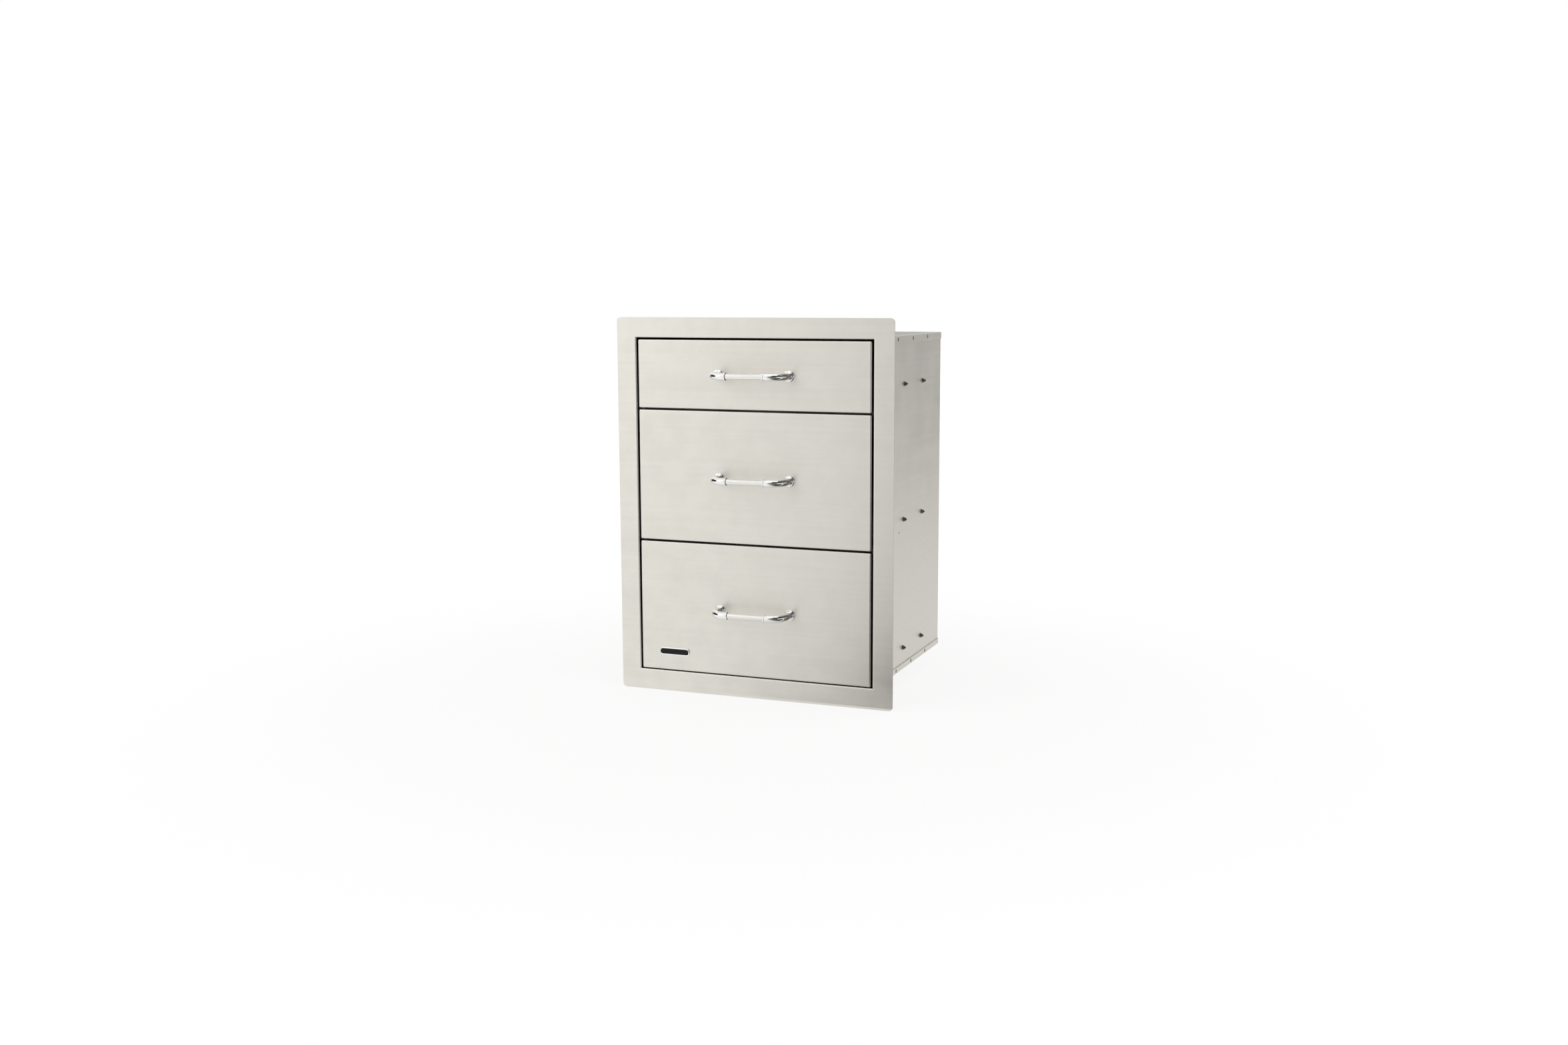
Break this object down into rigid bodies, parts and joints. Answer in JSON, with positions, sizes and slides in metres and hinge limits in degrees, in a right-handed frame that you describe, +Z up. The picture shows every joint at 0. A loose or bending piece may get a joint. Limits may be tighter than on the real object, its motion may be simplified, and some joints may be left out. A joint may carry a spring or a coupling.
{
  "type": "outdoor kitchen drawer unit",
  "caption": "Built-in stainless drawer unit for an outdoor kitchen: a flanged face frame, an enclosed body and stacked drawers with bar handles on full-extension ball-bearing slides.",
  "frame": {"origin": "middle of the face flange's lower bar, on the flange's rear face", "axes": "+X to the right seen from the front, +Y into the cut-out towards the back, +Z up"},
  "size_m": [0.55, 0.4757, 0.715],
  "materials": {
    "front_steel": "fine horizontal brushed grain, warm pale grey, satin",
    "body_steel": "mill-finish stainless sheet, dull satin",
    "handle_chrome": "polished cast ends",
    "handle_bar_steel": "satin tube, brushed round its length",
    "slide_steel": "bright rolled steel",
    "badge_enamel": "gloss black enamel in a chrome rim, blank"
  },
  "bodies": {
    "cabinet": {"face_frame": "front_steel", "left_side_panel": "body_steel", "right_side_panel": "body_steel", "top_panel": "body_steel", "bottom_panel": "body_steel", "back_panel": "body_steel", "upper_divider_rail": "body_steel", "lower_divider_rail": "body_steel", "upper_left_outer_slide": "slide_steel", "upper_right_outer_slide": "slide_steel", "middle_left_outer_slide": "slide_steel", "middle_right_outer_slide": "slide_steel", "lower_left_outer_slide": "slide_steel", "lower_right_outer_slide": "slide_steel"},
    "upper_drawer": {"upper_drawer_front": "front_steel", "upper_front_liner": "body_steel", "upper_tray": "body_steel", "upper_tray_back": "body_steel", "upper_handle_bar": "handle_bar_steel", "upper_left_handle_end": "handle_chrome", "upper_right_handle_end": "handle_chrome", "upper_left_inner_slide": "slide_steel", "upper_right_inner_slide": "slide_steel"},
    "upper_middle_slides": {"upper_left_middle_slide": "slide_steel", "upper_right_middle_slide": "slide_steel"},
    "upper_outer_cages": {"upper_left_outer_ball_cage": "slide_steel", "upper_right_outer_ball_cage": "slide_steel"},
    "upper_inner_cages": {"upper_left_inner_ball_cage": "slide_steel", "upper_right_inner_ball_cage": "slide_steel"},
    "middle_drawer": {"middle_drawer_front": "front_steel", "middle_front_liner": "body_steel", "middle_tray": "body_steel", "middle_tray_back": "body_steel", "middle_handle_bar": "handle_bar_steel", "middle_left_handle_end": "handle_chrome", "middle_right_handle_end": "handle_chrome", "middle_left_inner_slide": "slide_steel", "middle_right_inner_slide": "slide_steel"},
    "middle_middle_slides": {"middle_left_middle_slide": "slide_steel", "middle_right_middle_slide": "slide_steel"},
    "middle_outer_cages": {"middle_left_outer_ball_cage": "slide_steel", "middle_right_outer_ball_cage": "slide_steel"},
    "middle_inner_cages": {"middle_left_inner_ball_cage": "slide_steel", "middle_right_inner_ball_cage": "slide_steel"},
    "lower_drawer": {"lower_drawer_front": "front_steel", "lower_front_liner": "body_steel", "lower_tray": "body_steel", "lower_tray_back": "body_steel", "lower_handle_bar": "handle_bar_steel", "lower_left_handle_end": "handle_chrome", "lower_right_handle_end": "handle_chrome", "lower_left_inner_slide": "slide_steel", "lower_right_inner_slide": "slide_steel", "blank_badge": "badge_enamel"},
    "lower_middle_slides": {"lower_left_middle_slide": "slide_steel", "lower_right_middle_slide": "slide_steel"},
    "lower_outer_cages": {"lower_left_outer_ball_cage": "slide_steel", "lower_right_outer_ball_cage": "slide_steel"},
    "lower_inner_cages": {"lower_left_inner_ball_cage": "slide_steel", "lower_right_inner_ball_cage": "slide_steel"}
  },
  "joints": [
    {"name": "upper_drawer_travel", "type": "slide", "parent": "cabinet", "child": "upper_drawer", "axis": [0, -1, 0], "range_m": [0, 0.35]},
    {"name": "upper_middle_slides_travel", "type": "slide", "parent": "cabinet", "child": "upper_middle_slides", "axis": [0, -1, 0], "range_m": [0, 0.175]},
    {"name": "upper_outer_cages_travel", "type": "slide", "parent": "cabinet", "child": "upper_outer_cages", "axis": [0, -1, 0], "range_m": [0, 0.0875]},
    {"name": "upper_inner_cages_travel", "type": "slide", "parent": "cabinet", "child": "upper_inner_cages", "axis": [0, -1, 0], "range_m": [0, 0.2625]},
    {"name": "middle_drawer_travel", "type": "slide", "parent": "cabinet", "child": "middle_drawer", "axis": [0, -1, 0], "range_m": [0, 0.35]},
    {"name": "middle_middle_slides_travel", "type": "slide", "parent": "cabinet", "child": "middle_middle_slides", "axis": [0, -1, 0], "range_m": [0, 0.175]},
    {"name": "middle_outer_cages_travel", "type": "slide", "parent": "cabinet", "child": "middle_outer_cages", "axis": [0, -1, 0], "range_m": [0, 0.0875]},
    {"name": "middle_inner_cages_travel", "type": "slide", "parent": "cabinet", "child": "middle_inner_cages", "axis": [0, -1, 0], "range_m": [0, 0.2625]},
    {"name": "lower_drawer_travel", "type": "slide", "parent": "cabinet", "child": "lower_drawer", "axis": [0, -1, 0], "range_m": [0, 0.35]},
    {"name": "lower_middle_slides_travel", "type": "slide", "parent": "cabinet", "child": "lower_middle_slides", "axis": [0, -1, 0], "range_m": [0, 0.175]},
    {"name": "lower_outer_cages_travel", "type": "slide", "parent": "cabinet", "child": "lower_outer_cages", "axis": [0, -1, 0], "range_m": [0, 0.0875]},
    {"name": "lower_inner_cages_travel", "type": "slide", "parent": "cabinet", "child": "lower_inner_cages", "axis": [0, -1, 0], "range_m": [0, 0.2625]}
  ],
  "couplings": [
    {"joint": "upper_middle_slides_travel", "follows": "upper_drawer_travel", "ratio": 0.5},
    {"joint": "upper_outer_cages_travel", "follows": "upper_drawer_travel", "ratio": 0.25},
    {"joint": "upper_inner_cages_travel", "follows": "upper_drawer_travel", "ratio": 0.75},
    {"joint": "middle_middle_slides_travel", "follows": "middle_drawer_travel", "ratio": 0.5},
    {"joint": "middle_outer_cages_travel", "follows": "middle_drawer_travel", "ratio": 0.25},
    {"joint": "middle_inner_cages_travel", "follows": "middle_drawer_travel", "ratio": 0.75},
    {"joint": "lower_middle_slides_travel", "follows": "lower_drawer_travel", "ratio": 0.5},
    {"joint": "lower_outer_cages_travel", "follows": "lower_drawer_travel", "ratio": 0.25},
    {"joint": "lower_inner_cages_travel", "follows": "lower_drawer_travel", "ratio": 0.75}
  ]
}
